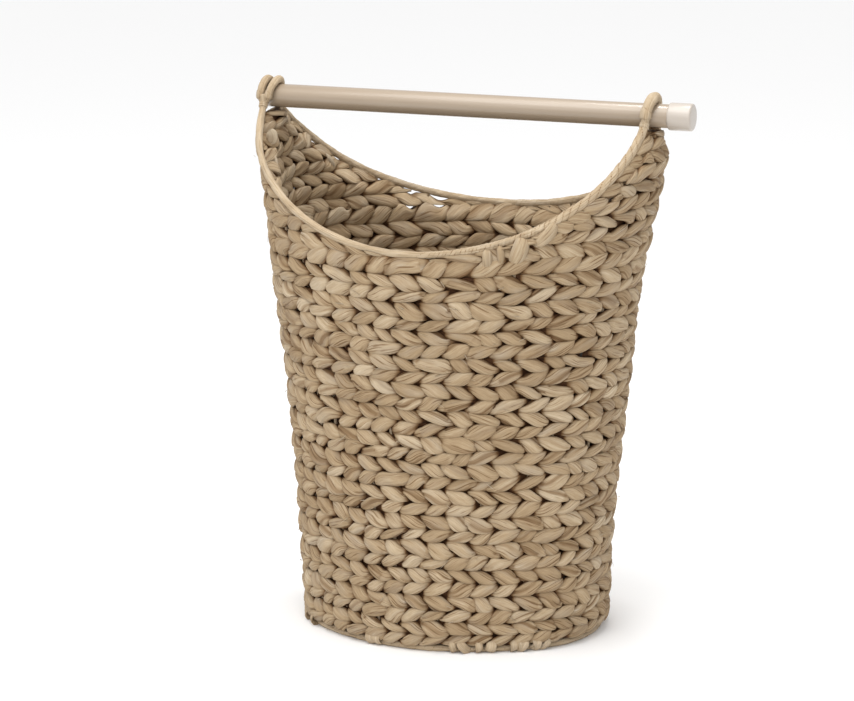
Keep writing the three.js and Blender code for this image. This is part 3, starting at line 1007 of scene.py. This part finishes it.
def loop_cord(node, name, pitch, lean):
    """A loop over the rod, its crown leaning along the rod a little."""
    low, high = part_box(node)
    radius = (high.x - low.x) / 2
    reach = (high.y - low.y) / 2 - radius
    turn = np.linspace(0, math.pi, CROWN_POINTS)
    x = (low.x + high.x) / 2 + lean * np.sin(turn) ** 1.5
    line = np.stack([x, -reach * np.cos(turn), ROD_Z + reach * np.sin(turn)], axis=-1)
    foot_x = rim_line[0 if low.x < 0 else -1, 0]
    feet = np.array([[foot_x, side * (reach + LEG_SPREAD), ROD_Z - LEG_LENGTH] for side in (-1, 1)])
    shoulders = line[[0, -1]] * (1 - SHOULDER) + feet * SHOULDER
    line = np.concatenate([feet[:1], shoulders[:1], line, shoulders[1:], feet[1:]])
    outward = np.stack([0 * x, -np.cos(turn), np.sin(turn)], axis=-1)
    outward = np.concatenate([outward[[0, 0]], outward, outward[[-1, -1]]])
    from_foot = np.minimum(np.arange(CROWN_POINTS), np.arange(CROWN_POINTS)[::-1])
    cuff = CUFF_GIRTH + CUFF_RIPPLE * np.cos(from_foot * math.pi)
    crown = np.where(from_foot < CUFF_POINTS, cuff, 1.0)
    leg = np.array([LEG_GIRTH, LEG_GIRTH + LEG_WIDENS])
    girth = np.concatenate([leg, crown, leg[::-1]])
    sweep = Sweep()
    wrapped_cord(
        sweep, line, outward, radius, pitch, ridge=0.1, step=0.9 * MM, round_end=0.15, girth=girth)
    finish_sweep(sweep, name, "wrapping_strand", node)


loop_cord("right_loop", "wrapped_loop_right", 9 * MM, 3.6 * MM)
loop_cord("left_loop_inner", "wrapped_loop_left_inner", 8 * MM, 4.5 * MM)
loop_cord("left_loop_outer", "wrapped_loop_left_outer", 8 * MM, 1.5 * MM)

BINDING_PITCH = 2.4 * MM
BINDING_RADIUS = 4.9 * MM
for side, peak in (("left", -1), ("right", 1)):
    for face, facing in (("front", -1), ("back", 1)):
        node = f"{side}_{face}_binding"
        low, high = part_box(node)
        heights = rim_line[:, 2]
        chosen = (heights > low.z + MM) & (heights < high.z - MM) & (rim_sweep * peak > 0)
        line = rim_line[chosen] * (1, facing, 1)
        outward = np.stack([0 * line[:, 0], np.full(len(line), facing), 0 * line[:, 0]], axis=-1)
        sweep = Sweep()
        wrapped_cord(sweep, line, outward, BINDING_RADIUS, BINDING_PITCH, ridge=0.16, step=0.35 * MM)
        finish_sweep(sweep, f"wound_{node}", "wrapping_strand", node)

# ---- base hoop and woven base

hoop_low, hoop_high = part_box("base_hoop")
HOOP_Z = (hoop_low.z + hoop_high.z) / 2
HOOP_CORD_RADIUS = 3.4 * MM
HOOP_PITCH = 9 * MM
hoop_angles = np.linspace(0, TAU, 721)
sweep = Sweep()
hoop_line = wall_point(hoop_angles, HOOP_Z, WALL_MIDDLE)
hoop_out = np.stack([np.cos(hoop_angles), np.sin(hoop_angles), 0 * hoop_angles], axis=-1)
wrapped_cord(sweep, hoop_line, hoop_out, HOOP_CORD_RADIUS, HOOP_PITCH, closed=True)
finish_sweep(sweep, "wrapped_base_hoop", "wrapping_strand", "base_hoop")


def base_place(node):
    """How far in from the wall's outer surface a part of the base starts, its height and thickness."""
    low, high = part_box(node)
    inset = half_length(low.z) - (high.x - low.x) / 2 / plan_flat
    return inset, (low.z + high.z) / 2, high.z - low.z


def base_row(sweep, inset, width, lean, z, thickness):
    """A flat oval row of the base, its centre that far in from the wall's outer surface."""
    line = wall_point(np.linspace(0, TAU, 181), z, inset)
    stakes = max(2 * int(round(run_along(line)[-1] / 2 / STAKE_PITCH)), 4)
    places = 0.5 + np.arange(stakes * STRAND_STEPS) / STRAND_STEPS

    def place(stake, level, deep):
        return wall_point(TAU * stake / stakes, z - deep * thickness / 2, inset - level * width / 2)

    twined_row(sweep, places, lean, place, True)


BASE_ROUNDS = 3
BASE_ROW_WIDTH = 13.5 * MM
for number in range(1, BASE_ROUNDS + 1):
    inset, middle_z, thickness = base_place(f"base_round_{number}")
    sweep = Sweep()
    base_row(sweep, inset + BASE_ROW_WIDTH / 2, BASE_ROW_WIDTH, 1, middle_z, thickness)
    base_row(sweep, inset + BASE_ROW_WIDTH * 1.5, BASE_ROW_WIDTH, -1, middle_z, thickness)
    finish_sweep(sweep, f"woven_base_round_{number}", "base_strand", f"base_round_{number}")

# The base centre is two oval rows, with one straight row of four passes inside them.
CENTRE_OUTER = (6.5 * MM, 13 * MM)
CENTRE_INNER = (19 * MM, 12 * MM)
CENTRE_PASSES = 4
centre_low, centre_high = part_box("base_centre")
CENTRE_REACH = (centre_high.x - centre_low.x) / 2 - 22 * MM
inset, middle_z, thickness = base_place("base_centre")
sweep = Sweep()
base_row(sweep, inset + CENTRE_OUTER[0], CENTRE_OUTER[1], 1, middle_z, thickness)
base_row(sweep, inset + CENTRE_INNER[0], CENTRE_INNER[1], -1, middle_z, thickness)


def centre_place(stake, level, deep):
    x = BASKET_X + (2 * stake / CENTRE_PASSES - 1) * CENTRE_REACH
    return np.stack([x, level * ROW_HALF_HEIGHT, middle_z + deep * thickness / 2], axis=-1)


centre_stakes = np.linspace(0, CENTRE_PASSES, CENTRE_PASSES * STRAND_STEPS + 1)
twined_row(sweep, centre_stakes, 1, centre_place, False)
finish_sweep(sweep, "woven_base_centre", "base_strand", "base_centre")

# ---- strand ends, ties and stray fibres

# The strand ends that finish the top row come out under the rim and are tucked down side by side.
# Each has its sweep in degrees at the top and bottom, half width, half thickness, length and tone.
TUCKED_ENDS = (
    (22.8, 21.6, 5.0, 3.4, 21, 0.9),
    (26.4, 25.4, 3.8, 3.6, 19, 0.5),
    (33.6, 28.6, 8.6, 5.6, 23, 0.85),
    (44.0, 35.4, 6.6, 4.6, 14, 0.95),
)
# The part of the way down, and how far in from the wall's outer surface in mm.
TUCK_SHAPE = ((0.10, 8.0), (0.25, 3.2), (0.5, 1.2), (0.78, 2.4), (1.0, 8.0))
sweep = Sweep()
for top_degrees, low_degrees, half_width, half_thickness, length, tone in TUCKED_ENDS:
    fold_line = []
    for part, inset in TUCK_SHAPE:
        degrees = top_degrees + (low_degrees - top_degrees) * part
        angle, z = below_rim(rim_sample(math.radians(degrees)), part * length * MM)
        fold_line.append(wall_point(-angle, z, inset * MM))
    fold_line = rounded(fold_line, 24)
    outward = fold_line * (1, 1, 0) - (BASKET_X, 0, 0)
    flat_strand(
        sweep, fold_line, outward, half_width * MM, half_thickness * MM,
        sides=24, taper=0.42, tone=tone, folds=0.5)
finish_sweep(sweep, "rim_tucked_ends", "woven_strand")

# Ties bind the bottom row to the hoop, more of them where the strand ends come together.
BASE_TIES = 16
BASE_JOIN = np.radians((-76, -73.5, -66, -61, -52, -49.5, -44, -37))
# A tie's height and how far in from the wall's outer surface it is, in mm, from its top down.
TIE_SHAPE = ((13, 3.5), (9.5, 1.2), (6.5, 1.2), (3.8, 3.4), (2.0, 6.2), (1.6, 9.5))
TIE_THICKNESS = 1.3 * MM
sweep = Sweep()
for angle in np.concatenate([rng.uniform(0, TAU, BASE_TIES), BASE_JOIN]):
    lean = rng.uniform(-0.02, 0.02)
    line = [wall_point(angle + lean * k, z * MM, inset * MM) for k, (z, inset) in enumerate(TIE_SHAPE)]
    line = rounded(line, 16)
    hub = wall_point(angle, 6 * MM, WALL_MIDDLE)
    flat_strand(sweep, line, line - hub, rng.uniform(3.0, 5.6) * MM, TIE_THICKNESS, taper=0.2)
finish_sweep(sweep, "base_ties", "wrapping_strand")

# Pale leaf ends curl off the inside of the left wing: plan angle, height, tilt, half width.
LOOSE_ENDS = ((195.0, 0.505, 0.5, 6.0), (198.0, 0.480, -0.3, 3.4), (150.0, 0.463, 0.9, 2.0))
LOOSE_FACING = (0.45, -0.87, 0.2)
LOOSE_HALF_LENGTH = 8 * MM
LOOSE_THICKNESS = 0.7 * MM
LOOSE_TONE = 1.5
sweep = Sweep()
for degrees, height, tilt, half_width in LOOSE_ENDS:
    part = np.linspace(-1, 1, 12)
    angle = math.radians(degrees) + part * 0.03 * tilt
    line = wall_point(angle, height + part * LOOSE_HALF_LENGTH, (20.5 - 3.0 * part**2) * MM)
    outward = np.tile(LOOSE_FACING, (len(part), 1))
    flat_strand(
        sweep, line, outward, half_width * MM, LOOSE_THICKNESS, sides=16, taper=0.4, tone=LOOSE_TONE)
finish_sweep(sweep, "loose_leaf_ends", "wrapping_strand")

FIBRE_COUNT = 170
FIBRE_THICKNESS = 0.16 * MM
MEAN_RADIUS = 0.17
sweep = Sweep()
for _ in range(FIBRE_COUNT):
    angle = rng.uniform(0, TAU)
    z = rng.uniform(0.02, float(rim_height(angle)) - 0.012)
    length, climb_angle = rng.uniform(5, 15) * MM, rng.normal(0, 0.6)
    part = np.linspace(0, 1, 5)
    turn_by = part * length * math.cos(climb_angle) / MEAN_RADIUS * rng.choice((-1, 1))
    lift = 0.3 * MM + part**2 * rng.uniform(0, 3.2) * MM
    line = wall_point(angle + turn_by, z + part * length * math.sin(climb_angle), -lift)
    outward = np.tile([math.cos(angle), math.sin(angle), 0.0], (len(part), 1))
    half_width = rng.uniform(0.25, 0.55) * MM
    tone = rng.uniform(0.6, 1.3)
    flat_strand(sweep, line, outward, half_width, FIBRE_THICKNESS, sides=4, tone=tone)
finish_sweep(sweep, "stray_fibres", "wrapping_strand")

# ---- stakes between the upright wires

STAKE_RADIUS = 1.7 * MM
STAKE_SIDES = 6
STAKE_FOOT = 8 * MM
STAKE_TOP = 0.525
corner_stakes = np.cumsum((0, *STAKES_PER_FACE))
sweep = Sweep()
for number in range(STAKE_COUNT):
    if number in corner_stakes:
        continue
    angle = angle_at(number)
    top = min(float(rim_height(angle)) - RIM_RADIUS, STAKE_TOP)
    heights = np.linspace(STAKE_FOOT, top, 24)
    line = wall_point(angle, heights, WALL_MIDDLE)
    outward = np.tile([math.cos(angle), math.sin(angle), 0.0], (len(line), 1))
    out, upward = section_frames(line, outward, False)
    grid = ring_grid(line, STAKE_RADIUS, out, upward, TAU * np.arange(STAKE_SIDES) / STAKE_SIDES)
    # One tone for every stake, no crease shade and a little painted hollow shade.
    even_looks = np.full(grid.shape[:2], 0.8)
    sweep.tube(grid, heights, even_looks, even_looks, even_looks, False)
finish_sweep(sweep, "stakes", "wrapping_strand")

for name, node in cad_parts.items():
    if name.startswith(("upright_wire", "base_wire")):
        node.data.materials.clear()
        node.data.materials.append(frame_wire)

# ---- rod and knob

ROD_SIDES = 64
ROD_INTO_KNOB = 4 * MM
ROD_EDGE = 1.2 * MM
KNOB_EDGE = 2.2 * MM


def start_cylinder(name, radius, start, end, z):
    bpy.ops.object.select_all(action="DESELECT")
    bpy.ops.mesh.primitive_cylinder_add(
        vertices=ROD_SIDES, radius=radius, depth=end - start,
        location=((start + end) / 2, 0, z), rotation=(0, math.pi / 2, 0))
    piece = bpy.context.object
    piece.name = name
    bpy.ops.object.transform_apply(location=True, rotation=True, scale=True)
    return piece


def soften_edges(piece, width, segments):
    bevel = piece.modifiers.new("soft_edge", "BEVEL")
    bevel.width = width
    bevel.segments = segments
    bevel.limit_method = "ANGLE"
    bpy.ops.object.modifier_apply(modifier="soft_edge")
    bpy.ops.object.shade_smooth_by_angle(angle=math.radians(40))


knob_low, knob_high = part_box("rod_knob")
KNOB_RADIUS = (knob_high.z - knob_low.z) / 2
rod = start_cylinder("handle_rod", ROD_RADIUS, rod_low.x, knob_low.x + ROD_INTO_KNOB, ROD_Z)
soften_edges(rod, ROD_EDGE, 3)
rod.data.materials.append(rod_wood)
finish_piece(rod, "rod_wood", "carry_rod", body="rod")

knob = start_cylinder("turned_knob", KNOB_RADIUS, knob_low.x, knob_high.x, ROD_Z)
soften_edges(knob, KNOB_EDGE, 5)
knob.data.materials.append(knob_wood)
finish_piece(knob, "knob_wood", "rod_knob", body="rod")

# ---- floor and light

bpy.ops.object.select_all(action="DESELECT")
bpy.ops.mesh.primitive_plane_add(size=30, location=(0, 0, 0))
floor = bpy.context.object
floor.name = "floor"
floor_sheet = Sheet("pale_floor")
floor_sheet.set(Base_Color=(0.96, 0.96, 0.96), Roughness=0.9)
floor.data.materials.append(floor_sheet.material)


LIGHT_TARGET = Vector((0, 0, 0.3))


def soft_light(name, kind, power, size, location):
    data = bpy.data.lights.new(name, kind)
    data.energy = power
    if kind == "SUN":
        data.angle = size
    else:
        data.size = size
    light = bpy.data.objects.new(name, data)
    light.location = location
    light.rotation_euler = (LIGHT_TARGET - Vector(location)).to_track_quat("-Z", "Y").to_euler()
    bpy.context.scene.collection.objects.link(light)


soft_light("overhead", "AREA", 22, 1.4, (-0.3, -0.7, 2.3))
soft_light("top", "AREA", 15, 0.5, (0.1, 0.3, 2.4))
soft_light("sky", "SUN", 1.1, math.radians(60), (0.3, -2.8, 2.4))

world = bpy.data.worlds.new("studio")
world.use_nodes = True
world.node_tree.nodes["Background"].inputs["Color"].default_value = (1, 1, 1, 1)
world.node_tree.nodes["Background"].inputs["Strength"].default_value = 0.76
bpy.context.scene.world = world
bpy.context.scene.view_settings.view_transform = "Standard"
